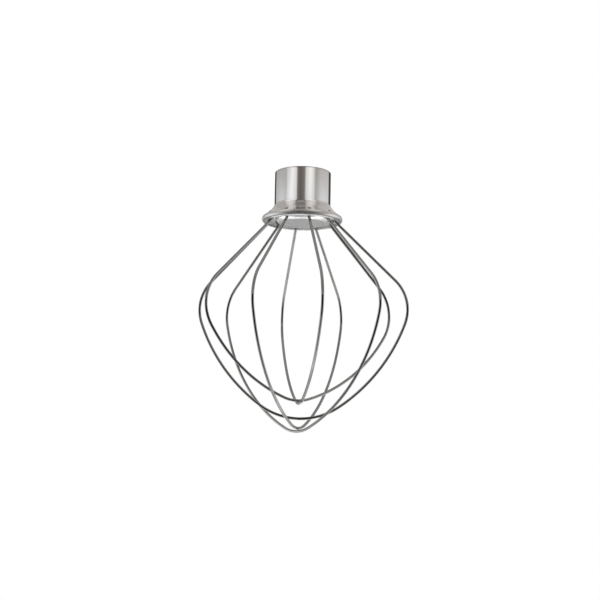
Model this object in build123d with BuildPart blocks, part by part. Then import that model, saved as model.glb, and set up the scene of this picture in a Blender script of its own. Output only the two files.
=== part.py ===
"""Wire whisk for a stand mixer: five bent wire loops hooked into the skirt of a drawn hub.

Millimetres, +Z up. The origin is the mouth of the shaft bore, and the whisk hangs below it.
Profiles are drawn as (radius, height) in an upright plane through the axis.
"""

import os
from collections import namedtuple
from math import acos, asin, atan2, cos, radians, sin, sqrt

from build123d import *

# Hub shell, drawn from one sheet
sheet = 0.9
shell_radius = 16.0
hub_height = 29.4
top_round = 0.6
crease_height = 9.8  # above the rim, where the straight wall ends
flare_start = 28.0  # degrees off the wall where the flare begins
rim_radius = 23.0
bead_radius = 1.95  # the rolled rim, open to the inside

# Socket core, cast and turned, pressed into the shell
collar_radius = 11.0  # stands in the opening in the shell's top
core_drop = 0.3  # its underside, below the rim
core_chamfer = 1.8
core_clearance = 0.02

# Shaft bore, with a bayonet groove for the shaft's cross pin
bore_diameter = 12.9
bore_depth = 22.4
groove_width = 5.2
groove_depth = 3.2
groove_drop = 14.0
groove_turn = 55.0
catch_rise = 2.0
groove_angle = 90.0  # the groove opens towards the rear

# Wires and the holes that their ends hook into
wire_diameter = 1.6
wire_clearance = 0.05
first_wire_angle = -7.0
tip_radius = 20.8  # where a wire's end comes through the skirt
tip_proud = 0.35
hook_bend = 1.6
rim_clearance = 0.1  # between a wire's leg and the edge of the rim that it passes
cage_width = 119.8  # over the wires at their knees
knee_drop = 49.8  # centre of the knee's bend, below the rim
knee_bend = 23.3
crossing_gap = 0.1  # between two wires of a pair where they cross

# Loop sizes: the bends of the sides and the bottom, and how far below the rim a loop crosses the axis
LoopSize = namedtuple("LoopSize", "side_bend bottom_bend depth")
inner = LoopSize(side_bend=89.5, bottom_bend=25.3, depth=101.0)
middle = LoopSize(side_bend=97.0, bottom_bend=38.7, depth=111.0)
outer = LoopSize(side_bend=90.3, bottom_bend=21.3, depth=116.3)

# The loops in order round the hub: a size, how many wires it crosses under, and how far the hand-bent wire
# stands off centre at its knees and at its bottom
Loop = namedtuple("Loop", "size under knee_sway bottom_sway")
loops = (
    Loop(middle, under=0, knee_sway=1.0, bottom_sway=0.6),
    Loop(inner, under=0, knee_sway=0.8, bottom_sway=-0.9),
    Loop(outer, under=0, knee_sway=0.2, bottom_sway=-0.9),
    Loop(inner, under=1, knee_sway=0.7, bottom_sway=-0.3),
    Loop(outer, under=1, knee_sway=1.6, bottom_sway=1.7),
)
wire_pitch = 180.0 / len(loops)
knee_radius = cage_width / 2 - wire_diameter / 2 - knee_bend

# The flare is one arc that leaves the wall at its start angle and runs on to the bead
bead_center = Vector(rim_radius - bead_radius, bead_radius - hub_height)
crease = Vector(shell_radius, crease_height - hub_height)
flare_normal = Vector(cos(radians(flare_start)), sin(radians(flare_start)))
bead_to_crease = crease - bead_center
flare_radius = (bead_to_crease.dot(bead_to_crease) - bead_radius**2) / (
    2 * (bead_radius - bead_to_crease.dot(flare_normal))
)
flare_center = crease + flare_normal * flare_radius
flare_end = flare_center + (bead_center - flare_center).normalized() * flare_radius
flare_end_inside = flare_center + (bead_center - flare_center).normalized() * (flare_radius + sheet)
edge_center = bead_center - Vector(0, bead_radius - sheet / 2)  # the sheet's rounded edge, where the roll ends

# Where a wire's end comes out, square to the skirt
tip_slope = acos((flare_center.X - tip_radius) / flare_radius)
tip_normal = Vector(cos(tip_slope), sin(tip_slope))
tip_hole = flare_center - tip_normal * flare_radius


def flat(point):
    """A point as a plain pair in the plane of its profile."""
    return (point.X, point.Y)


def flare_height(radius, offset):
    """Height at this radius on the arc that lies offset inside the flare's outer face."""
    return flare_center.Y - sqrt((flare_radius + offset) ** 2 - (flare_center.X - radius) ** 2)


def upright(angle):
    """Plane through the axis that faces sideways: its x runs outward at this angle, its y up."""
    outward = (cos(radians(angle)), sin(radians(angle)), 0)
    return Plane(origin=(0, 0, 0), x_dir=outward, z_dir=(outward[1], -outward[0], 0))


def between(start, start_distance, end, end_distance):
    """The point at these distances from two others, on the side towards the axis and up."""
    along = (start_distance**2 - end_distance**2 + (end - start).length ** 2) / (2 * (end - start).length)
    step = (end - start).normalized()
    return start + step * along + Vector(step.Y, -step.X) * sqrt(start_distance**2 - along**2)


def half_loop(loop, side):
    """Ends of the runs and bends of half a loop: tip, hook corner, and the ends of leg, knee and side."""
    size = loop.size
    knee = Vector(knee_radius + side * loop.knee_sway, -hub_height - knee_drop)
    crossing = size.depth + loop.under * (wire_diameter + crossing_gap)
    rise = sqrt(size.bottom_bend**2 - loop.bottom_sway**2)
    bottom = Vector(side * loop.bottom_sway, -hub_height - crossing + rise)
    flank = between(knee, size.side_bend - knee_bend, bottom, size.side_bend - size.bottom_bend)

    # The leg runs straight from the hook to the knee and passes inside the rim's edge
    past_edge = sheet / 2 + rim_clearance + wire_diameter / 2
    edge_to_knee = knee - edge_center
    leg_angle = atan2(edge_to_knee.Y, edge_to_knee.X) + asin((knee_bend + past_edge) / edge_to_knee.length)
    leg_normal = Vector(-sin(leg_angle), cos(leg_angle))
    leg_end = knee + leg_normal * knee_bend
    hook = tip_hole - tip_normal * ((tip_hole - leg_end).dot(leg_normal) / tip_normal.dot(leg_normal))
    tip = tip_hole + tip_normal * tip_proud
    knee_end = flank + (knee - flank).normalized() * size.side_bend
    side_end = flank + (bottom - flank).normalized() * size.side_bend
    return [(side * point.X, point.Y) for point in (tip, hook, leg_end, knee_end, side_end)]


os.makedirs("parts", exist_ok=True)

# Hub shell
inside_radius = shell_radius - sheet
with BuildPart() as hub_shell:
    with BuildSketch(Plane.XZ):
        with BuildLine():
            Polyline((collar_radius, -sheet), (collar_radius, 0), (shell_radius - top_round, 0))
            RadiusArc((shell_radius - top_round, 0), (shell_radius, -top_round), top_round)
            Line((shell_radius, -top_round), flat(crease))
            RadiusArc(flat(crease), flat(flare_end), -flare_radius)
            edge_outside = edge_center - Vector(0, sheet / 2)
            edge_tip = edge_center - Vector(sheet / 2, 0)
            edge_inside = edge_center + Vector(0, sheet / 2)
            RadiusArc(flat(flare_end), flat(edge_outside), bead_radius)
            ThreePointArc(flat(edge_outside), flat(edge_tip), flat(edge_inside))
            RadiusArc(flat(edge_inside), flat(flare_end_inside), sheet - bead_radius)
            inside_crease = (inside_radius, flare_height(inside_radius, sheet))
            RadiusArc(flat(flare_end_inside), inside_crease, flare_radius + sheet)
            Polyline(inside_crease, (inside_radius, -sheet), (collar_radius, -sheet))
        make_face()
    revolve(axis=Axis.Z)
    for number in range(2 * len(loops)):
        side_plane = upright(first_wire_angle + number * wire_pitch)
        hole_start = side_plane.from_local_coords(tip_hole)
        hole_end = side_plane.from_local_coords(tip_hole - tip_normal * sheet)
        with Locations(Plane(hole_start, z_dir=hole_start - hole_end)):
            Hole(wire_diameter / 2 + wire_clearance, depth=2 * sheet)
hub_shell.part.label = "hub_shell"
export_step(hub_shell.part, "parts/hub_shell.step")

# Hub core
bore_radius = bore_diameter / 2
core_radius = inside_radius - core_clearance
neck_radius = collar_radius - core_clearance
core_bottom = -hub_height - core_drop
groove_radius = bore_radius + groove_depth
with BuildPart() as hub_core:
    with BuildSketch(Plane.XZ):
        with BuildLine():
            Polyline(
                (neck_radius, 0),
                (bore_radius, 0),
                (bore_radius, -bore_depth),
                (0, -bore_depth),
                (0, core_bottom),
                (core_radius - core_chamfer, core_bottom),
                (core_radius, core_bottom + core_chamfer),
                (core_radius, -sheet),
                (neck_radius, -sheet),
                close=True,
            )
        make_face()
    revolve(axis=Axis.Z)
    with BuildSketch(Plane.XY.rotated((0, 0, groove_angle))):
        Rectangle(groove_radius, groove_width, align=(Align.MIN, Align.CENTER))
    extrude(amount=-groove_drop, mode=Mode.SUBTRACT)
    with BuildSketch(upright(groove_angle)):
        with Locations((0, -groove_drop)):
            Rectangle(groove_radius, groove_width, align=(Align.MIN, Align.MIN))
    revolve(axis=Axis.Z, revolution_arc=groove_turn, mode=Mode.SUBTRACT)
    with BuildSketch(Plane.XY.offset(-groove_drop).rotated((0, 0, groove_angle + groove_turn))):
        Rectangle(groove_radius, groove_width, align=(Align.MIN, Align.CENTER))
    extrude(amount=groove_width + catch_rise, mode=Mode.SUBTRACT)
hub_core.part.label = "hub_core"
export_step(hub_core.part, "parts/hub_core.step")

# Wire loops, each one length of wire with a hook at both ends
for number, loop in enumerate(loops):
    with BuildPart() as whisk_wire:
        with BuildLine(upright(first_wire_angle + number * wire_pitch)) as centreline:
            tip, hook, leg_end, knee_end, side_end = half_loop(loop, 1)
            far_tip, far_hook, far_leg_end, far_knee_end, far_side_end = half_loop(loop, -1)
            FilletPolyline(tip, hook, leg_end, radius=hook_bend)
            RadiusArc(leg_end, knee_end, knee_bend)
            RadiusArc(knee_end, side_end, loop.size.side_bend)
            RadiusArc(side_end, far_side_end, loop.size.bottom_bend)
            RadiusArc(far_side_end, far_knee_end, loop.size.side_bend)
            RadiusArc(far_knee_end, far_leg_end, knee_bend)
            FilletPolyline(far_leg_end, far_hook, far_tip, radius=hook_bend)
        with BuildSketch(Plane(centreline.line @ 0, z_dir=centreline.line % 0)):
            Circle(wire_diameter / 2)
        sweep(path=centreline.line)
    whisk_wire.part.label = f"whisk_wire_{number + 1}"
    export_step(whisk_wire.part, f"parts/whisk_wire_{number + 1}.step")
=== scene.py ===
"""Stand mixer wire whisk, dressed around its CAD frame.

Laid out as an add-on and run as a script. Metres, +Z up; the origin is the mouth of the shaft bore.
"""

import math
from collections import namedtuple

import bmesh
import bpy
from bpy.props import FloatProperty, FloatVectorProperty, IntProperty, PointerProperty
from mathutils import Matrix, Vector


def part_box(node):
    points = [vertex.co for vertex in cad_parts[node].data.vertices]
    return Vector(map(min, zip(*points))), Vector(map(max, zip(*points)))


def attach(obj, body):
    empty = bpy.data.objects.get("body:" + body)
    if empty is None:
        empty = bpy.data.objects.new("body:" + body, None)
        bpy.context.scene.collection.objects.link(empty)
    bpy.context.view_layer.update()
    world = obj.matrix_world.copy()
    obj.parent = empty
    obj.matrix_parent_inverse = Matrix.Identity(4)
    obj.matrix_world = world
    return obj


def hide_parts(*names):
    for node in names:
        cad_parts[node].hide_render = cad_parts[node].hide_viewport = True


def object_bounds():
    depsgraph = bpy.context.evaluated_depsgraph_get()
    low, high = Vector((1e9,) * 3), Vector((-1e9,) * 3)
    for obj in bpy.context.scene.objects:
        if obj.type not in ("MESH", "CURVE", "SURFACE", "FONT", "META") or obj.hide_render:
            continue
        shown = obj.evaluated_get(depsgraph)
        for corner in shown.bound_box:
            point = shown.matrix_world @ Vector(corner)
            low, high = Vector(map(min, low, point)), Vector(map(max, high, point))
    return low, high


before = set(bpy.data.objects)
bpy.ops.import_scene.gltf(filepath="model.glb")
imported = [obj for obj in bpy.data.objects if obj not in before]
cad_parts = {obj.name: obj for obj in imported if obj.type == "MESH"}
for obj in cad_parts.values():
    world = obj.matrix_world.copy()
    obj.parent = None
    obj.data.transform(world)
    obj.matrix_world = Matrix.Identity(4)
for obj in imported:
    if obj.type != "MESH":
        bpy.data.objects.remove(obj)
CAD_BOX = [list(corner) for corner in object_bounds()]
HUB_LOW, HUB_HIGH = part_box("hub_shell")
CORE_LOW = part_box("hub_core")[0]

bl_info = {
    "name": "Stand Mixer Wire Whisk",
    "version": (1, 0, 0),
    "blender": (4, 5, 0),
    "location": "View3D > Sidebar > Whisk",
    "description": "Drawn hub, cast socket core and bent wire loops of a mixer whisk",
    "category": "Object",
}

# The loops in order round the hub: bends of the sides and the bottom, depth below the rim on the axis,
# and how far the wire stands off centre at its knees and at its bottom
LoopShape = namedtuple("LoopShape", "side_bend bottom_bend depth knee_sway bottom_sway")
LOOPS = (
    LoopShape(0.0970, 0.0387, 0.1110, 0.0010, 0.0006),
    LoopShape(0.0895, 0.0253, 0.1010, 0.0008, -0.0009),
    LoopShape(0.0903, 0.0213, 0.1163, 0.0002, -0.0009),
    LoopShape(0.0895, 0.0253, 0.1027, 0.0007, -0.0003),
    LoopShape(0.0903, 0.0213, 0.1180, 0.0016, 0.0017),
)


class HubSizes(bpy.types.PropertyGroup):
    """Sizes of the drawn hub."""

    sheet: FloatProperty(
        name="Sheet", description="Thickness of the drawn sheet", default=0.0009, unit="LENGTH"
    )
    body_radius: FloatProperty(
        name="Body Radius", description="Outside of the straight wall", default=0.016, unit="LENGTH"
    )
    height: FloatProperty(
        name="Height", description="From the rim to the flat top", default=-HUB_LOW.z, unit="LENGTH"
    )
    mouth_radius: FloatProperty(
        name="Mouth Radius", description="Opening in the top", default=0.011, unit="LENGTH"
    )
    top_round: FloatProperty(
        name="Top Round", description="Bend between top and wall", default=0.0006, unit="LENGTH"
    )
    crease_height: FloatProperty(
        name="Crease Height",
        description="Where the wall ends, above the rim",
        default=0.0098,
        unit="LENGTH",
    )
    flare_start: FloatProperty(
        name="Flare Start",
        description="Angle off the wall where the flare begins",
        default=math.radians(28),
        subtype="ANGLE",
    )
    rim_radius: FloatProperty(
        name="Rim Radius", description="Outside of the rim", default=HUB_HIGH.x, unit="LENGTH"
    )
    bead_radius: FloatProperty(
        name="Bead Radius", description="Roll of the rim", default=0.00195, unit="LENGTH"
    )
    tip_radius: FloatProperty(
        name="Tip Radius",
        description="Where the wires come through the skirt",
        default=0.0208,
        unit="LENGTH",
    )
    hole_radius: FloatProperty(
        name="Hole Radius", description="Holes for the wires", default=0.00085, unit="LENGTH"
    )
    edge_break: FloatProperty(
        name="Edge Break", description="Broken edges at the mouth", default=0.00012, unit="LENGTH"
    )
    crease_softness: FloatProperty(
        name="Crease Softness",
        description="Rounding on each side of the crease",
        default=0.0002,
        unit="LENGTH",
    )
    polish_end: FloatProperty(
        name="Polish End",
        description="How far the polish reaches under the roll",
        default=math.radians(-50),
        subtype="ANGLE",
    )
    core_chamfer: FloatProperty(
        name="Core Chamfer", description="Height of the core's turned edge", default=0.0018, unit="LENGTH"
    )
    sector_steps: IntProperty(
        name="Sector Steps", description="Faces round the hub for each hole", default=32
    )


class WireSizes(bpy.types.PropertyGroup):
    """Sizes of the wire loops."""

    diameter: FloatProperty(
        name="Diameter", description="Diameter of the wire", default=0.0016, unit="LENGTH"
    )
    first_angle: FloatProperty(
        name="First Angle",
        description="Turn of the first loop about the axis",
        default=math.radians(-7),
        subtype="ANGLE",
    )
    tip_proud: FloatProperty(
        name="Tip Proud", description="How far a wire's end stands out", default=0.00035, unit="LENGTH"
    )
    hook_bend: FloatProperty(
        name="Hook Bend", description="Bend of a wire's hook", default=0.0016, unit="LENGTH"
    )
    rim_clearance: FloatProperty(
        name="Rim Clearance", description="Between leg and rim", default=0.0001, unit="LENGTH"
    )
    knee_radius: FloatProperty(
        name="Knee Radius", description="Knee's centre, from the axis", default=0.0358, unit="LENGTH"
    )
    knee_drop: FloatProperty(
        name="Knee Drop", description="Knee's centre, below the rim", default=0.0498, unit="LENGTH"
    )
    knee_bend: FloatProperty(
        name="Knee Bend", description="Bend of the knee", default=0.0233, unit="LENGTH"
    )
    step: FloatProperty(
        name="Step", description="Longest step along a bend", default=0.0009, unit="LENGTH"
    )
    hook_step: FloatProperty(
        name="Hook Step", description="Longest step round a hook", default=0.0002, unit="LENGTH"
    )
    leg_steps: IntProperty(name="Leg Steps", description="Steps along a straight leg", default=12)
    sides: IntProperty(name="Sides", description="Faces round the wire", default=20)


class Finishes(bpy.types.PropertyGroup):
    """Colours and gloss."""

    hub_steel: FloatVectorProperty(
        name="Hub Steel",
        description="Polished sheet",
        default=(0.84, 0.84, 0.835),
        subtype="COLOR",
        min=0,
        max=1,
    )
    skirt_steel: FloatVectorProperty(
        name="Skirt Steel",
        description="Drawn and less polished skirt",
        default=(0.57, 0.562, 0.556),
        subtype="COLOR",
        min=0,
        max=1,
    )
    inside_steel: FloatVectorProperty(
        name="Inside Steel",
        description="Dull inside of the hub",
        default=(0.90, 0.895, 0.89),
        subtype="COLOR",
        min=0,
        max=1,
    )
    wire_steel: FloatVectorProperty(
        name="Wire Steel",
        description="Drawn wire",
        default=(0.27, 0.268, 0.265),
        subtype="COLOR",
        min=0,
        max=1,
    )
    core_cast: FloatVectorProperty(
        name="Core Cast",
        description="Dull cast face of the core",
        default=(0.41, 0.41, 0.41),
        subtype="COLOR",
        min=0,
        max=1,
    )
    core_turned: FloatVectorProperty(
        name="Core Turned",
        description="Bright turned edge of the core",
        default=(0.95, 0.95, 0.94),
        subtype="COLOR",
        min=0,
        max=1,
    )
    hub_roughness: FloatProperty(
        name="Hub Roughness", description="Of the polished sheet", default=0.07, subtype="FACTOR"
    )
    wire_roughness: FloatProperty(
        name="Wire Roughness", description="Of the drawn wire", default=0.05, subtype="FACTOR"
    )


class Studio(bpy.types.PropertyGroup):
    """Floor, light and camera."""

    floor_drop: FloatProperty(
        name="Floor Drop", description="Floor under the lowest wire", default=0.030, unit="LENGTH"
    )
    floor_front: FloatProperty(
        name="Floor Front", description="Front edge of the white sheet", default=-0.015, unit="LENGTH"
    )
    floor_half_width: FloatProperty(
        name="Floor Half Width", description="Of the white sheet", default=0.06, unit="LENGTH"
    )
    floor_back: FloatProperty(
        name="Floor Back", description="Far edge of the white sheet", default=0.34, unit="LENGTH"
    )
    lamp_power: FloatProperty(
        name="Lamp Power", description="Softbox overhead", default=6.0, unit="POWER"
    )
    lamp_size: FloatVectorProperty(
        name="Lamp Size",
        description="Width and depth of the softbox",
        default=(0.9, 0.7),
        size=2,
        unit="LENGTH",
    )
    lamp_place: FloatVectorProperty(
        name="Lamp Place",
        description="Middle of the softbox",
        default=(0.05, 0.05, 0.6),
        subtype="TRANSLATION",
    )
    camera_distance: FloatProperty(
        name="Camera Distance", description="In front of the axis", default=0.596246, unit="LENGTH"
    )
    camera_height: FloatProperty(
        name="Camera Height", description="Of the lens", default=-0.155218, unit="LENGTH"
    )
    camera_pitch: FloatProperty(
        name="Camera Pitch", description="Looking up", default=math.radians(7.7864), subtype="ANGLE"
    )
    camera_yaw: FloatProperty(
        name="Camera Yaw", description="Looking right", default=math.radians(-0.0427), subtype="ANGLE"
    )
    camera_roll: FloatProperty(
        name="Camera Roll", description="About the view", default=math.radians(1.0118), subtype="ANGLE"
    )
    camera_lens: FloatProperty(
        name="Lens", description="Focal length on a 36 mm sensor", default=63.8661, unit="CAMERA"
    )


class Value:
    """A node's socket that takes part in Python expressions; each operation adds a Math node."""

    def __init__(self, graph, socket):
        self.graph = graph
        self.socket = socket

    def __add__(self, other):
        return self.graph.maths("ADD", self, other)

    def __radd__(self, other):
        return self.graph.maths("ADD", other, self)

    def __sub__(self, other):
        return self.graph.maths("SUBTRACT", self, other)

    def __rsub__(self, other):
        return self.graph.maths("SUBTRACT", other, self)

    def __mul__(self, other):
        return self.graph.maths("MULTIPLY", self, other)

    def __rmul__(self, other):
        return self.graph.maths("MULTIPLY", other, self)

    def __truediv__(self, other):
        return self.graph.maths("DIVIDE", self, other)

    def __rtruediv__(self, other):
        return self.graph.maths("DIVIDE", other, self)


class Graph:
    """Writes nodes into one emptied node tree."""

    def __init__(self, tree):
        self.tree = tree
        tree.nodes.clear()

    def add(self, kind, settings=None, inputs=None, output=0):
        """Adds a node, its settings first and then its sockets, and returns one of its outputs."""
        node = self.tree.nodes.new(kind)
        for name, value in (settings or {}).items():
            if name == "stops":
                self.set_stops(node.color_ramp.elements, value)
            else:
                setattr(node, name, value)
        for name, value in (inputs or {}).items():
            socket = node.inputs[name]
            if isinstance(value, Value):
                self.tree.links.new(value.socket, socket)
            else:
                socket.default_value = value
        return Value(self, node.outputs[output]) if node.outputs else node

    def set_stops(self, elements, stops):
        """Gives a colour ramp these (position, colour) stops."""
        elements.remove(elements[-1])
        elements[0].position, elements[0].color = stops[0]
        for position, colour in stops[1:]:
            elements.new(position).color = colour

    def maths(self, operation, *values):
        return self.add("ShaderNodeMath", {"operation": operation}, dict(enumerate(values)))

    def fade(self, value, low, high):
        """0 below low, 1 above high, smooth between."""
        return self.add(
            "ShaderNodeMapRange",
            {"interpolation_type": "SMOOTHSTEP"},
            {"Value": value, "From Min": low, "From Max": high},
        )

    def split(self, vector):
        """The x, y and z of a vector."""
        first = self.add("ShaderNodeSeparateXYZ", None, {"Vector": vector})
        return [Value(self, socket) for socket in first.socket.node.outputs]

    def join(self, x, y, z):
        return self.add("ShaderNodeCombineXYZ", None, {"X": x, "Y": y, "Z": z})

    def noise(self, vector, scale, detail=2.0):
        """Noise about 0.5."""
        return self.add(
            "ShaderNodeTexNoise", None, {"Vector": vector, "Scale": scale, "Detail": detail, "Roughness": 0.5}
        )

    def blend(self, share, first, second):
        """A colour between two."""
        return self.add(
            "ShaderNodeMix", {"data_type": "RGBA"}, {"Factor": share, 6: first, 7: second}, output=2
        )

    def times(self, first, second):
        """The product of two colours."""
        return self.add("ShaderNodeVectorMath", {"operation": "MULTIPLY"}, {0: first, 1: second})

    def shaded(self, colour, level):
        """A colour made lighter or darker by a level."""
        return self.times(colour, self.join(level, level, level))

    def ramp(self, value, stops):
        """The colour at a value between (position, colour) stops."""
        return self.add("ShaderNodeValToRGB", {"stops": stops}, {"Fac": value}, output="Color")

    def bump(self, height, strength, distance, below=None):
        """A normal raised by a height, on top of another bump if there is one."""
        inputs = {"Strength": strength, "Distance": distance, "Height": height}
        if below is not None:
            inputs["Normal"] = below
        return self.add("ShaderNodeBump", None, inputs)

    def place(self):
        """Coordinates in the object's own frame."""
        return self.add("ShaderNodeTexCoord", output="Object")

    def surface(self, inputs):
        """Ends a material in one principled shader."""
        shader = self.add("ShaderNodeBsdfPrincipled", None, inputs)
        self.add("ShaderNodeOutputMaterial", None, {"Surface": shader})


def new_material(name):
    material = bpy.data.materials.new(name)
    material.use_nodes = True
    return material, Graph(material.node_tree)


def tinted(colour, level=1.0):
    return (colour[0] * level, colour[1] * level, colour[2] * level, 1.0)


def polished_sheet(finishes, sizes, first_angle, pitch):
    """Stainless sheet polished on a lathe; the drawn skirt keeps a slight orange peel."""
    material, graph = new_material("polished_sheet")
    place = graph.place()
    x, y, z = graph.split(place)
    turn = graph.maths("ARCTAN2", y, x)
    reach = graph.maths("SQRT", x * x + y * y)
    rim, crease = -sizes.height, sizes.crease_height - sizes.height
    bead, corner, hole = sizes.bead_radius, sizes.top_round, sizes.hole_radius
    skirt = 1.0 - graph.fade(z, crease - 0.0004, crease + 0.0002)
    rings = graph.noise(graph.join(turn * 0.3, reach * 5000.0, z * 5000.0), 1.0, 3.0)
    smears = graph.noise(place, 140.0, 3.0)
    peel = graph.noise(place, 1300.0, 2.0)

    # Painted light on the polished sheet: a painted dark reflection on the round of the top's edge, a painted
    # reflection under the roll that is darker in front and lighter at the back, and painted shade next to the
    # holes
    on_round = graph.fade(reach, sizes.body_radius - 1.4 * corner, sizes.body_radius - 0.8 * corner)
    on_round = on_round * graph.fade(z, -1.4 * corner, -0.6 * corner)
    underside = 1.0 - graph.fade(z, rim + 0.0004, rim + 0.0013)
    rear = graph.fade(y, -0.008, 0.004)
    tip = Flare(sizes).tip
    sector = (turn - first_angle) / pitch
    across = (sector - graph.maths("ROUND", sector)) * (pitch * tip.x)
    inward, upward = reach - tip.x, z - tip.y
    from_hole = graph.maths("SQRT", across * across + inward * inward + upward * upward)
    level = (0.97 + 0.06 * smears) * (1.0 - 0.62 * on_round)
    # Painted reflection under the roll: darker under its front, lighter under its back
    level = level * (1.0 - underside * (0.65 - 1.05 * rear))
    # Painted shade round each wire hole
    level = level * (0.30 + 0.70 * graph.fade(from_hole, hole, 1.7 * hole))
    colour = graph.blend(skirt, tinted(finishes.hub_steel), tinted(finishes.skirt_steel))

    on_rim = 1.0 - graph.fade(z, rim + 1.1 * bead, rim + 2.0 * bead)
    roughness = finishes.hub_roughness - 0.02 + 0.04 * rings + 0.03 * smears + 0.06 * skirt + 0.30 * on_rim
    normal = graph.bump(rings * 0.05 + skirt * peel * 0.9, 0.25, 0.00006)
    graph.surface(
        {"Base Color": graph.shaded(colour, level), "Metallic": 1.0, "Roughness": roughness, "Normal": normal}
    )
    return material


def dull_sheet(finishes, sizes):
    """The sheet as drawn, unpolished, with streaks from the drawing die."""
    material, graph = new_material("dull_sheet")
    x, y, z = graph.split(graph.place())
    turn = graph.maths("ARCTAN2", y, x)
    reach = graph.maths("SQRT", x * x + y * y)
    streaks = graph.noise(graph.join(turn * 60.0, z * 400.0, 0.0), 1.0, 3.0)
    colour = graph.blend(streaks, tinted(finishes.inside_steel, 0.92), tinted(finishes.inside_steel, 1.06))

    # Painted shade: the underside of the roll is darker at the two sides
    rim, sheet = -sizes.height, sizes.sheet
    edge_radius = sizes.rim_radius - sizes.bead_radius - sheet / 2
    under_roll = graph.fade(reach, edge_radius - 0.0004, edge_radius)
    under_roll = under_roll * (1.0 - graph.fade(z, rim + sheet, rim + 1.1 * sheet))
    aside = 1.0 - graph.fade(graph.maths("ABSOLUTE", y), 0.0115, 0.0155)
    colour = graph.shaded(colour, 1.0 - 0.64 * aside * under_roll)

    roughness = 0.46 + 0.08 * streaks
    normal = graph.bump(streaks, 0.2, 0.00004)
    graph.surface({"Base Color": colour, "Metallic": 0.05, "Roughness": roughness, "Normal": normal})
    return material


def drawn_wire(finishes):
    """Bright drawn wire, with faint draw lines along its length."""
    material, graph = new_material("drawn_wire")
    along = graph.add("ShaderNodeAttribute", {"attribute_name": "along"}, output="Fac")
    around = graph.add("ShaderNodeAttribute", {"attribute_name": "around"}, output="Fac")
    angle = around * (2.0 * math.pi)
    section_x, section_y = graph.maths("COSINE", angle), graph.maths("SINE", angle)
    lines = graph.noise(graph.join(section_x * 4.0, section_y * 4.0, along * 60.0), 1.0, 3.0)
    smears = graph.noise(graph.join(along * 140.0, around, 0.0), 1.0, 2.0)
    colour = graph.shaded(tuple(finishes.wire_steel), 0.90 + 0.10 * lines + 0.10 * smears)
    roughness = finishes.wire_roughness - 0.04 + 0.05 * lines + 0.05 * smears
    normal = graph.bump(lines, 0.2, 0.00002)
    graph.surface({"Base Color": colour, "Metallic": 1.0, "Roughness": roughness, "Normal": normal})
    return material


def cast_metal(finishes, chamfer):
    """Cast aluminium, dull underneath, with a bright turned edge and greyer walls above it."""
    material, graph = new_material("cast_metal")
    place = graph.place()
    x, y, z = graph.split(place)
    reach = graph.maths("SQRT", x * x + y * y)
    bottom = CORE_LOW.z
    turned = graph.fade(z, bottom + 0.00005, bottom + 0.00015)
    upper = graph.fade(z, bottom + chamfer, bottom + chamfer + 0.0001)
    grain = graph.noise(place, 3200.0, 2.0)
    cloud = graph.noise(place, 220.0, 3.0)
    rings = graph.noise(graph.join(reach * 9000.0, z * 9000.0, 0.0), 1.0, 2.0)
    colour = graph.blend(turned, tinted(finishes.core_cast), tinted(finishes.core_turned))
    colour = graph.shaded(colour, (0.96 + 0.08 * cloud) * (1.0 - 0.38 * upper))
    roughness = 0.44 + 0.06 * cloud - 0.24 * turned + 0.04 * rings * turned + 0.10 * upper
    metallic = 0.5 + 0.3 * turned

    # The turned edge is slightly domed
    across = (z - (bottom + chamfer / 2)) / (chamfer / 2)
    domed = graph.bump(turned * (1.0 - upper) * (1.0 - across * across), 1.0, 0.00022)
    normal = graph.bump(grain * (1.0 - turned) + 0.15 * rings * turned, 0.25, 0.00003, domed)
    graph.surface({"Base Color": colour, "Metallic": metallic, "Roughness": roughness, "Normal": normal})
    return material


def new_piece(name, mesh, node):
    """Adds a finished piece that stands for a CAD node."""
    piece = bpy.data.objects.new(name, mesh)
    bpy.context.scene.collection.objects.link(piece)
    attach(piece, "root")
    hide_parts(node)
    return piece


def arc(centre, radius, start, end, steps):
    """Points on a circle from one angle to another, both included."""
    angles = [start + (end - start) * i / steps for i in range(steps + 1)]
    return [Vector((centre.x + radius * math.cos(a), centre.y + radius * math.sin(a))) for a in angles]


class Flare:
    """The arc of the skirt, from the wall's crease to the bead, as in the CAD model."""

    def __init__(self, sizes):
        self.bead = Vector((sizes.rim_radius - sizes.bead_radius, sizes.bead_radius - sizes.height))
        self.edge = self.bead - Vector((0.0, sizes.bead_radius - sizes.sheet / 2))
        self.crease = Vector((sizes.body_radius, sizes.crease_height - sizes.height))
        normal = Vector((math.cos(sizes.flare_start), math.sin(sizes.flare_start)))
        gap = self.crease - self.bead
        self.radius = (gap.dot(gap) - sizes.bead_radius**2) / (2 * (sizes.bead_radius - gap.dot(normal)))
        self.centre = self.crease + normal * self.radius
        slope = math.acos((self.centre.x - sizes.tip_radius) / self.radius)
        self.tip_normal = Vector((math.cos(slope), math.sin(slope)))
        self.tip = self.centre - self.tip_normal * self.radius

    def point(self, angle, offset):
        """The point at this angle about the flare's centre, on the face that lies offset inside it."""
        return self.centre + Vector((math.cos(angle), math.sin(angle))) * (self.radius + offset)

    def angle(self, point):
        """Angle of a point about the flare's centre, from 0 to a full turn."""
        return math.atan2(point.y - self.centre.y, point.x - self.centre.x) % (2 * math.pi)


# A hole's square patch: steps from its middle to its sides, rows, and how far in its rings lie
PATCH_HALF_WIDTH = 3
PATCH_ROWS = 6
PATCH_SHARES = (0.4, 0.72, 0.9, 1.0)
PATCH_HALF_HEIGHT = 1.36  # in hole radii


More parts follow.
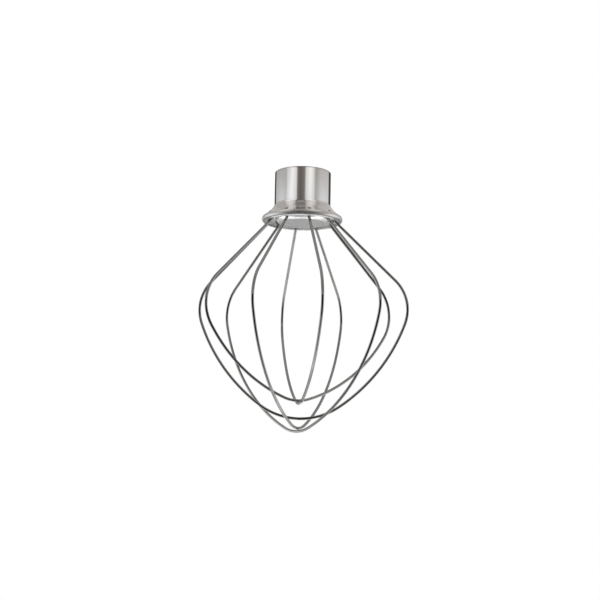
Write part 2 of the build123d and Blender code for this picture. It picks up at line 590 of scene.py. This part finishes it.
class Lathe:
    """Builds a closed mesh of revolution ring by ring, with round holes through one band."""

    def __init__(self, holes, first_angle, sector_steps):
        self.bm = bmesh.new()
        self.holes = holes
        self.first_angle = first_angle
        self.sector_steps = sector_steps
        self.count = holes * sector_steps
        self.paint = 0  # material index of the faces made next

    def turn(self, step):
        return self.first_angle + 2 * math.pi * step / self.count

    def vertex(self, turn, point):
        return self.bm.verts.new((point.x * math.cos(turn), point.x * math.sin(turn), point.y))

    def ring(self, point):
        return [self.vertex(self.turn(step), point) for step in range(self.count)]

    def face(self, *corners):
        self.bm.faces.new(corners).material_index = self.paint

    def strip(self, upper, lower):
        for step in range(self.count):
            after = (step + 1) % self.count
            self.face(upper[step], lower[step], lower[after], upper[after])

    def strips(self, rings):
        for upper, lower in zip(rings, rings[1:]):
            self.strip(upper, lower)

    def holed_band(self, upper, lower, rows, hole_ring, half_width, surface):
        """Fills between two rings with a grid that leaves a round hole in the middle of each sector.

        rows gives the angle about the flare of each grid row, hole_ring the (turn, angle) pairs of the
        hole's edge, half_width the steps from a hole's middle to the sides of its patch, and surface maps an
        angle to a point of the profile. Returns the hole edges.
        """
        grid = [upper]
        for row in rows[1:-1]:
            middle = []
            for step in range(self.count):
                beside = (step + half_width) % self.sector_steps
                inside = 0 < beside < 2 * half_width
                middle.append(None if inside else self.vertex(self.turn(step), surface(row)))
            grid.append(middle)
        grid.append(lower)
        edges = []
        last = len(rows) - 1
        for hole in range(self.holes):
            centre_step = hole * self.sector_steps
            for offset in range(half_width, self.sector_steps - half_width):
                left = (centre_step + offset) % self.count
                right = (left + 1) % self.count
                for row in range(last):
                    self.face(grid[row][left], grid[row + 1][left], grid[row + 1][right], grid[row][right])
            edges.append(self.patch(grid, rows, centre_step, half_width, hole_ring, surface))
        return edges

    def patch(self, grid, rows, centre_step, half_width, hole_ring, surface):
        """Rings of quads from the square border of a patch in to the hole's edge."""
        last = len(rows) - 1
        border = []
        for offset in range(-half_width, half_width):
            border.append((0, offset))
        for row in range(last):
            border.append((row, half_width))
        for offset in range(half_width, -half_width, -1):
            border.append((last, offset))
        for row in range(last, 0, -1):
            border.append((row, -half_width))
        step_angle = 2 * math.pi / self.count
        outside = [(offset * step_angle, rows[row]) for row, offset in border]
        previous = [grid[row][(centre_step + offset) % self.count] for row, offset in border]
        base = self.turn(centre_step)
        for share in PATCH_SHARES:
            current = []
            for (turn_a, angle_a), (turn_b, angle_b) in zip(outside, hole_ring):
                turn = turn_a + (turn_b - turn_a) * share
                angle = angle_a + (angle_b - angle_a) * share
                current.append(self.vertex(base + turn, surface(angle)))
            self.bridge(previous, current)
            previous = current
        return previous

    def bridge(self, outer, inner):
        """Quads between two loops that run the same way."""
        for i in range(len(outer)):
            after = (i + 1) % len(outer)
            self.face(outer[i], inner[i], inner[after], outer[after])

    def mesh(self, name, materials, sharp):
        """The finished mesh, faces outwards, smooth but for edges sharper than this angle."""
        bmesh.ops.recalc_face_normals(self.bm, faces=self.bm.faces)
        mesh = bpy.data.meshes.new(name)
        self.bm.to_mesh(mesh)
        self.bm.free()
        mesh.shade_smooth()
        mesh.set_sharp_from_angle(angle=sharp)
        for material in materials:
            mesh.materials.append(material)
        return mesh


def hole_edge(flare, sizes, offset, border_steps):
    """Edge of a hole on the face that lies offset inside the flare, as (turn, angle about the flare) pairs.

    The pairs start at the corner where a patch's border starts and run the same way round.
    """
    pairs = []
    face_radius = flare.radius + offset
    corner = math.radians(135)
    along = Vector((-flare.tip_normal.y, flare.tip_normal.x))
    for i in range(border_steps):
        around = corner - 2 * math.pi * i / border_steps
        side, up = math.cos(around) * sizes.hole_radius, math.sin(around) * sizes.hole_radius
        # Slide the point along the hole until it lies on the face
        depth = -offset
        for _ in range(12):
            point = flare.tip + along * up + flare.tip_normal * depth
            reach = math.hypot(point.x, side)
            gap = (Vector((reach, point.y)) - flare.centre).length - face_radius
            depth += gap
        pairs.append((math.atan2(side, point.x), flare.angle(Vector((reach, point.y)))))
    return pairs


class WHISK_OT_hub_shell(bpy.types.Operator):
    """Make the drawn hub: top, wall, flared skirt with holes, and rolled rim"""

    bl_idname = "whisk.hub_shell"
    bl_label = "Drawn Hub"

    def execute(self, context):
        sizes, finishes = context.scene.whisk_hub, context.scene.whisk_finishes
        wires = context.scene.whisk_wires
        flare = Flare(sizes)
        lathe = Lathe(2 * len(LOOPS), wires.first_angle, sizes.sector_steps)
        sheet, body, mouth, edge = sizes.sheet, sizes.body_radius, sizes.mouth_radius, sizes.edge_break
        bead, corner = sizes.bead_radius, sizes.top_round
        border_steps = 2 * (2 * PATCH_HALF_WIDTH + PATCH_ROWS)

        def outside(angle):
            return flare.point(angle, 0.0)

        def inside(angle):
            return flare.point(angle, sheet)

        # Angles about the flare's centre, from the crease down to the bead
        half_band = PATCH_HALF_HEIGHT * sizes.hole_radius / flare.radius
        tip_angle, bead_angle = flare.angle(flare.tip), flare.angle(flare.bead)
        rows = [tip_angle + half_band * (2 * i / PATCH_ROWS - 1) for i in range(PATCH_ROWS + 1)]
        skirt_start = flare.angle(flare.crease) + sizes.crease_softness / flare.radius
        inside_start = math.pi + math.acos((flare.centre.x - (body - sheet)) / (flare.radius + sheet))

        # The rim rolls out and down from the skirt to the sheet's rounded edge, and its inside runs back up
        roll_start = math.atan2(flare.centre.y - flare.bead.y, flare.centre.x - flare.bead.x)
        down = -math.pi / 2
        roll = arc(flare.bead, bead, roll_start, sizes.polish_end, 16)
        dull_roll = arc(flare.bead, bead, sizes.polish_end, down, 8)[1:]
        dull_roll += arc(flare.edge, sheet / 2, down, down - math.pi, 8)[1:]
        dull_roll += arc(flare.bead, bead - sheet, down, roll_start, 16)[1:]

        # Polished outside: mouth, top, wall, skirt with its holes, and the roll as far as the polish reaches
        profile = [
            Vector((mouth, -sheet + edge)),
            Vector((mouth, -edge)),
            Vector((mouth + edge, 0.0)),
            Vector(((mouth + body) / 2, 0.0)),
            Vector((body - corner - edge, 0.0)),
        ]
        profile += arc(Vector((body - corner, -corner)), corner, math.pi / 2, 0.0, 6)
        wall_end = flare.crease.y + sizes.crease_softness
        for share in (0.05, 0.35, 0.7, 0.97, 1.0):
            profile.append(Vector((body, wall_end * share - corner * (1 - share))))
        profile += [outside(skirt_start + (rows[0] - skirt_start) * i / 8) for i in range(9)]
        rings = [lathe.ring(point) for point in profile]
        lathe.strips(rings)
        band_end = lathe.ring(outside(rows[-1]))
        outer_ring = hole_edge(flare, sizes, 0.0, border_steps)
        outer_edges = lathe.holed_band(rings[-1], band_end, rows, outer_ring, PATCH_HALF_WIDTH, outside)
        below_band = [outside((rows[-1] + bead_angle) / 2)] + roll
        outer_rings = [band_end] + [lathe.ring(point) for point in below_band]
        lathe.strips(outer_rings)

        # Dull inside, from under the roll back up to the mouth
        lathe.paint = 1
        lower_band = lathe.ring(inside(rows[-1]))
        lathe.strips([outer_rings[-1]] + [lathe.ring(point) for point in dull_roll] + [lower_band])
        upper_band = lathe.ring(inside(rows[0]))
        inner_ring = hole_edge(flare, sizes, sheet, border_steps)
        inner_edges = lathe.holed_band(upper_band, lower_band, rows, inner_ring, PATCH_HALF_WIDTH, inside)
        for outer, inner in zip(outer_edges, inner_edges):
            lathe.bridge(outer, inner)
        back = [inside(rows[0] + (inside_start - rows[0]) * i / 6) for i in range(1, 7)]
        back += [Vector((body - sheet, -sheet)), Vector((mouth + edge, -sheet))]
        lathe.strips([upper_band] + [lathe.ring(point) for point in back] + [rings[0]])

        polished = polished_sheet(finishes, sizes, wires.first_angle, math.pi / len(LOOPS))
        mesh = lathe.mesh("drawn_hub", (polished, dull_sheet(finishes, sizes)), math.radians(40))
        new_piece("drawn_hub", mesh, "hub_shell")
        return {"FINISHED"}


class WHISK_OT_hub_core(bpy.types.Operator):
    """Give the socket core its cast and turned finish"""

    bl_idname = "whisk.hub_core"
    bl_label = "Socket Core"

    def execute(self, context):
        material = cast_metal(context.scene.whisk_finishes, context.scene.whisk_hub.core_chamfer)
        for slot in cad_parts["hub_core"].material_slots:
            slot.material = material
        return {"FINISHED"}


# Where points lie along a wire's straight end, from its tip to its hook, and how much of the wire's radius
# the domed tip has at the first of them
END_SHARES = (0, 0.04, 0.1, 0.17, 0.3, 0.65)
DOME_SHARES = (0.35, 0.72, 0.93, 1.0)


def loop_half(loop, side, sizes, hub):
    """Centreline of half a loop in its own plane, from the tip to the bottom, side 1 or -1."""
    flare = Flare(hub)
    knee = Vector((sizes.knee_radius + side * loop.knee_sway, -hub.height - sizes.knee_drop))
    rise = math.sqrt(loop.bottom_bend**2 - loop.bottom_sway**2)
    bottom = Vector((side * loop.bottom_sway, -hub.height - loop.depth + rise))
    to_bottom = bottom - knee
    span = to_bottom.length
    from_knee, from_bottom = loop.side_bend - sizes.knee_bend, loop.side_bend - loop.bottom_bend
    along = (from_knee**2 - from_bottom**2 + span**2) / (2 * span)
    across = Vector((to_bottom.y, -to_bottom.x)) / span
    flank = knee + to_bottom * (along / span) + across * math.sqrt(from_knee**2 - along**2)

    past_edge = hub.sheet / 2 + sizes.rim_clearance + sizes.diameter / 2
    to_knee = knee - flare.edge
    lean = math.atan2(to_knee.y, to_knee.x) + math.asin((sizes.knee_bend + past_edge) / to_knee.length)
    leg_normal = Vector((-math.sin(lean), math.cos(lean)))
    leg = Vector((math.cos(lean), math.sin(lean)))
    leg_end = knee + leg_normal * sizes.knee_bend
    corner = flare.tip - flare.tip_normal * (
        (flare.tip - leg_end).dot(leg_normal) / flare.tip_normal.dot(leg_normal)
    )
    tip = flare.tip + flare.tip_normal * sizes.tip_proud

    # Hook: round the corner between the wire's end and its leg
    half_turn = leg.angle(flare.tip_normal) / 2
    back = sizes.hook_bend * math.tan(math.pi / 2 - half_turn)
    hook_centre = corner + (flare.tip_normal + leg).normalized() * (sizes.hook_bend / math.sin(half_turn))
    end_start, leg_start = corner + flare.tip_normal * back, corner + leg * back
    points = [tip + (end_start - tip) * share for share in END_SHARES]
    points += bend(hook_centre, sizes.hook_bend, end_start, leg_start, sizes.hook_step)
    points += [leg_start + (leg_end - leg_start) * i / sizes.leg_steps for i in range(1, sizes.leg_steps)]
    knee_end = flank + (knee - flank).normalized() * loop.side_bend
    side_end = flank + (bottom - flank).normalized() * loop.side_bend
    low = Vector((0.0, bottom.y - rise))
    points += bend(knee, sizes.knee_bend, leg_end, knee_end, sizes.step)
    points += bend(flank, loop.side_bend, knee_end, side_end, sizes.step)[1:]
    points += bend(bottom, loop.bottom_bend, side_end, low, sizes.step)[1:]
    return [Vector((side * point.x, point.y)) for point in points]


def bend(centre, radius, start, end, step):
    """Points on the shorter arc about a centre from one point to another."""
    first = math.atan2(start.y - centre.y, start.x - centre.x)
    turn = (math.atan2(end.y - centre.y, end.x - centre.x) - first + math.pi) % (2 * math.pi) - math.pi
    return arc(centre, radius, first, first + turn, max(4, math.ceil(abs(turn) * radius / step)))


def wire_tree(name):
    """Geometry nodes that give a path the round section of a wire, with domed ends."""
    tree = bpy.data.node_groups.new(name, "GeometryNodeTree")
    inputs = {"Geometry": "Geometry", "Diameter": "Float", "Sides": "Int", "Material": "Material"}
    for socket, kind in inputs.items():
        tree.interface.new_socket(socket, in_out="INPUT", socket_type="NodeSocket" + kind)
    tree.interface.new_socket("Geometry", in_out="OUTPUT", socket_type="NodeSocketGeometry")
    graph = Graph(tree)

    def given(socket):
        return graph.add("NodeGroupInput", output=socket)

    def stored(curve, attribute, measure):
        """The curve with a measure along it stored for the material."""
        value = graph.add("GeometryNodeSplineParameter", output=measure)
        return graph.add(
            "GeometryNodeStoreNamedAttribute",
            {"data_type": "FLOAT"},
            {"Geometry": curve, "Name": attribute, "Value": value},
        )

    dome = graph.add("GeometryNodeInputNamedAttribute", {"data_type": "FLOAT"}, {"Name": "dome"}, "Attribute")
    path = graph.add("GeometryNodeMeshToCurve", None, {"Mesh": given("Geometry")})
    path = stored(path, "along", "Length")
    section = graph.add(
        "GeometryNodeCurvePrimitiveCircle", None, {"Radius": 1.0, "Resolution": given("Sides")}
    )
    section = stored(section, "around", "Factor")
    radius = given("Diameter") * 0.5 * dome
    tube = graph.add(
        "GeometryNodeCurveToMesh",
        None,
        {"Curve": path, "Profile Curve": section, "Scale": radius, "Fill Caps": True},
    )
    realized = graph.add("GeometryNodeRealizeInstances", None, {"Geometry": tube})
    painted = graph.add(
        "GeometryNodeSetMaterial", None, {"Geometry": realized, "Material": given("Material")}
    )
    graph.add("NodeGroupOutput", None, {"Geometry": painted})
    return tree


def baked_mesh(path_mesh, tree, values, name):
    """Runs a node tree on a path and returns the result as a plain mesh."""
    carrier = bpy.data.objects.new(name + "_path", path_mesh)
    bpy.context.scene.collection.objects.link(carrier)
    modifier = carrier.modifiers.new("wire", "NODES")
    modifier.node_group = tree
    for item in tree.interface.items_tree:
        if item.in_out == "INPUT" and item.name in values:
            modifier[item.identifier] = values[item.name]
    bpy.context.view_layer.update()
    evaluated = carrier.evaluated_get(bpy.context.evaluated_depsgraph_get())
    mesh = bpy.data.meshes.new_from_object(evaluated)
    bpy.data.objects.remove(carrier)
    mesh.name = name
    return mesh


class WHISK_OT_wires(bpy.types.Operator):
    """Make the wire loops from their straight legs and tangent bends"""

    bl_idname = "whisk.wires"
    bl_label = "Wire Loops"

    def execute(self, context):
        sizes, hub = context.scene.whisk_wires, context.scene.whisk_hub
        material = drawn_wire(context.scene.whisk_finishes)
        tree = wire_tree("wire_loop")
        for number, loop in enumerate(LOOPS):
            near, far = loop_half(loop, 1, sizes, hub), loop_half(loop, -1, sizes, hub)
            path = near + far[-2::-1]
            angle = sizes.first_angle + math.pi * number / len(LOOPS)
            places = [(p.x * math.cos(angle), p.x * math.sin(angle), p.y) for p in path]
            path_mesh = bpy.data.meshes.new("loop_path")
            path_mesh.from_pydata(places, [(i, i + 1) for i in range(len(places) - 1)], [])
            dome = path_mesh.attributes.new("dome", "FLOAT", "POINT")
            for i in range(len(places)):
                from_end = min(i, len(places) - 1 - i)
                dome.data[i].value = DOME_SHARES[min(from_end, len(DOME_SHARES) - 1)]
            name = f"whisk_loop_{number + 1}"
            values = {"Diameter": sizes.diameter, "Sides": sizes.sides, "Material": material}
            mesh = baked_mesh(path_mesh, tree, values, name)
            mesh.shade_smooth()
            mesh.set_sharp_from_angle(angle=math.radians(60))
            new_piece(name, mesh, f"whisk_wire_{number + 1}")
        return {"FINISHED"}


TENT_LEAN = 0.62  # the tent's panels lean over the object

# Colour of the tent by degrees round the object, 0 in front: softboxes with dark gaps between them
TENT_PANELS = (
    (-180, 0.62, 0.62, 0.62),
    (-121, 0.54, 0.54, 0.53),
    (-95, 0.58, 0.58, 0.58),
    (-63, 0.54, 0.54, 0.54),
    (-59, 0.80, 0.80, 0.80),
    (-41, 1.10, 1.10, 1.10),
    (-23, 0.82, 0.80, 0.81),
    (-18, 0.20, 0.18, 0.175),
    (-8, 0.14, 0.12, 0.115),
    (6, 0.22, 0.20, 0.19),
    (12, 0.80, 0.79, 0.78),
    (27, 1.06, 1.05, 1.04),
    (42, 0.78, 0.77, 0.76),
    (47, 0.44, 0.44, 0.43),
    (70, 0.64, 0.63, 0.63),
    (121, 0.66, 0.65, 0.65),
    (180, 0.62, 0.62, 0.62),
)

# Grey of the slot overhead by degrees from the front horizon over to the back
SLOT_GREYS = (
    (0, 0.20), (55, 0.22), (62, 0.38), (69, 0.55), (78, 0.38),
    (88, 0.27), (112, 0.25), (122, 0.38), (135, 0.55), (180, 0.55),
)

# Grey of the room below the tent by degrees aside from the front
ROOM_GREYS = (
    (0, 0.0), (38, 0.01), (50, 0.08), (62, 0.35), (74, 1.0), (88, 1.8),
    (105, 1.8), (120, 1.1), (135, 0.6), (150, 0.5), (180, 0.5),
)


def grey_stops(greys):
    """Ramp stops over half a turn."""
    return [(degrees / 180, (grey, grey, grey, 1.0)) for degrees, grey in greys]


def studio_world():
    """White to the camera; to the object, a softbox tent with dark gaps and a dark room below its edge."""
    world = bpy.data.worlds.new("studio")
    world.use_nodes = True
    graph = Graph(world.node_tree)
    x, y, z = graph.split(graph.add("ShaderNodeTexCoord", output="Generated"))
    front = 0.0 - y

    def above(low, high):
        """Fades in between two elevations in degrees."""
        return graph.fade(z, math.sin(math.radians(low)), math.sin(math.radians(high)))

    # The tent's panels, with a slot overhead
    turn = graph.maths("ARCTAN2", x, TENT_LEAN * z - y) / (2.0 * math.pi) + 0.5
    stops = [((degrees + 180) / 360, (*colour, 1.0)) for degrees, *colour in TENT_PANELS]
    over = graph.maths("ARCTAN2", z, front) / math.pi
    slot = graph.fade(x, -0.28, -0.19) * (1.0 - graph.fade(x, 0.05, 0.15)) * graph.fade(z, 0.70, 0.82)
    tent = graph.blend(slot, graph.ramp(turn, stops), graph.ramp(over, grey_stops(SLOT_GREYS)))

    # It is dark low down at the back and slightly dim halfway up at the front
    behind = graph.fade(graph.maths("ABSOLUTE", turn - 0.5 + 4 / 360), 127 / 360, 135 / 360)
    tent = graph.blend(behind * (1.0 - above(16.0, 20.0)), tent, (0.06, 0.06, 0.06, 1.0))
    aside = graph.maths("ABSOLUTE", graph.maths("ARCTAN2", x, front)) / math.pi
    dim = above(20.0, 26.0) * (1.0 - above(52.0, 60.0)) * (1.0 - graph.fade(aside, 45 / 180, 80 / 180))
    tent = graph.shaded(tent, 1.0 - 0.15 * dim)

    # Its lowest edge is cool and the rest warm, and its sides are darker low down
    warm = above(13.2, 14.9)
    tint = graph.blend(warm, (0.99, 1.0, 1.01, 1.0), (1.02, 0.99, 0.965, 1.0))
    low_down = warm * (1.0 - graph.fade(z, 0.30, 0.45))
    tint = graph.shaded(tint, 1.0 + graph.fade(aside, 40 / 180, 52 / 180) * (0.08 - 0.30 * low_down))
    tent = graph.times(tent, tint)

    # Below it the room is dark in front and bright at the sides, over a grey ground
    ground = 0.32 * (1.0 - graph.fade(z, -0.71, -0.56)) + 0.6 * (1.0 - graph.fade(z, -0.985, -0.95))
    room = graph.add(
        "ShaderNodeVectorMath",
        {"operation": "MAXIMUM"},
        {0: graph.ramp(aside, grey_stops(ROOM_GREYS)), 1: graph.join(ground, ground, ground)},
    )
    reflected = graph.blend(above(11.0, 13.0), room, tent)

    glossy_ray = graph.add("ShaderNodeLightPath", output="Is Glossy Ray")
    camera_ray = graph.add("ShaderNodeLightPath", output="Is Camera Ray")
    seen = graph.blend(glossy_ray, (0.7, 0.7, 0.7, 1.0), reflected)
    seen = graph.blend(camera_ray, seen, (1.0, 1.0, 1.0, 1.0))
    background = graph.add("ShaderNodeBackground", None, {"Color": seen, "Strength": 1.0})
    graph.add("ShaderNodeOutputWorld", None, {"Surface": background})
    return world


def white_sheet():
    """Matt white paper, brighter to the camera, as in an overexposed backdrop."""
    material, graph = new_material("white_sheet")
    fibre = graph.noise(graph.place(), 900.0, 3.0)
    glow = 0.6 * graph.add("ShaderNodeLightPath", output="Is Camera Ray")
    graph.surface(
        {
            "Base Color": graph.blend(fibre, (0.93, 0.93, 0.93, 1.0), (0.95, 0.95, 0.95, 1.0)),
            "Roughness": 1.0,
            "Specular IOR Level": 0.0,
            "Emission Color": graph.join(glow, glow, glow),
            "Emission Strength": 1.0,
        }
    )
    return material


def camera_axes(studio):
    """Turn of the camera: yaw about the upright, then pitch, then roll about the view."""
    level = Vector((math.sin(studio.camera_yaw), math.cos(studio.camera_yaw), 0.0))
    ahead = level * math.cos(studio.camera_pitch) + Vector((0.0, 0.0, math.sin(studio.camera_pitch)))
    right = Vector((level.y, -level.x, 0.0))
    up = right.cross(ahead)
    rolled_right = right * math.cos(studio.camera_roll) + up * math.sin(studio.camera_roll)
    rolled_up = up * math.cos(studio.camera_roll) - right * math.sin(studio.camera_roll)
    return Matrix((rolled_right, rolled_up, -ahead)).transposed().to_4x4()


class WHISK_OT_stage(bpy.types.Operator):
    """Make the floor, the light and the camera"""

    bl_idname = "whisk.stage"
    bl_label = "Stage"

    def execute(self, context):
        studio, scene = context.scene.whisk_studio, context.scene
        scene.world = studio_world()
        scene.view_settings.view_transform = "Standard"

        bm = bmesh.new()
        height = CAD_BOX[0][2] - studio.floor_drop
        half = studio.floor_half_width
        front, back = studio.floor_front, studio.floor_back
        corners = [(-half, front), (half, front), (half, back), (-half, back)]
        bm.faces.new([bm.verts.new((x, y, height)) for x, y in corners])
        mesh = bpy.data.meshes.new("floor")
        bm.to_mesh(mesh)
        bm.free()
        mesh.materials.append(white_sheet())
        floor = bpy.data.objects.new("floor", mesh)
        scene.collection.objects.link(floor)

        lamp = bpy.data.lights.new("softbox", "AREA")
        lamp.shape = "RECTANGLE"
        lamp.size, lamp.size_y = studio.lamp_size
        lamp.energy = studio.lamp_power
        softbox = bpy.data.objects.new("softbox", lamp)
        softbox.location = studio.lamp_place
        softbox.visible_glossy = False
        scene.collection.objects.link(softbox)

        lens = bpy.data.cameras.new("camera")
        lens.lens = studio.camera_lens
        lens.sensor_width = 36.0
        lens.clip_start = 0.01
        camera = bpy.data.objects.new("camera", lens)
        place = Matrix.Translation((0.0, -studio.camera_distance, studio.camera_height))
        camera.matrix_world = place @ camera_axes(studio)
        scene.collection.objects.link(camera)
        scene.camera = camera
        return {"FINISHED"}


class WHISK_PT_panel(bpy.types.Panel):
    """Sidebar panel with the whisk's operators and sizes"""

    bl_idname = "WHISK_PT_panel"
    bl_label = "Wire Whisk"
    bl_space_type = "VIEW_3D"
    bl_region_type = "UI"
    bl_category = "Whisk"

    def draw(self, context):
        for operator in OPERATORS:
            self.layout.operator(operator.bl_idname)
        for name, group in GROUPS.items():
            box = self.layout.box()
            for prop in group.__annotations__:
                box.prop(getattr(context.scene, name), prop)


GROUPS = {
    "whisk_hub": HubSizes,
    "whisk_wires": WireSizes,
    "whisk_finishes": Finishes,
    "whisk_studio": Studio,
}
OPERATORS = (WHISK_OT_hub_shell, WHISK_OT_hub_core, WHISK_OT_wires, WHISK_OT_stage)
CLASSES = (*GROUPS.values(), *OPERATORS, WHISK_PT_panel)


def register():
    for cls in CLASSES:
        bpy.utils.register_class(cls)
    for name, group in GROUPS.items():
        setattr(bpy.types.Scene, name, PointerProperty(type=group))


def unregister():
    for name in GROUPS:
        delattr(bpy.types.Scene, name)
    for cls in reversed(CLASSES):
        bpy.utils.unregister_class(cls)


def main():
    register()
    bpy.ops.whisk.hub_shell()
    bpy.ops.whisk.hub_core()
    bpy.ops.whisk.wires()
    bpy.ops.whisk.stage()


if __name__ == "__main__":
    main()
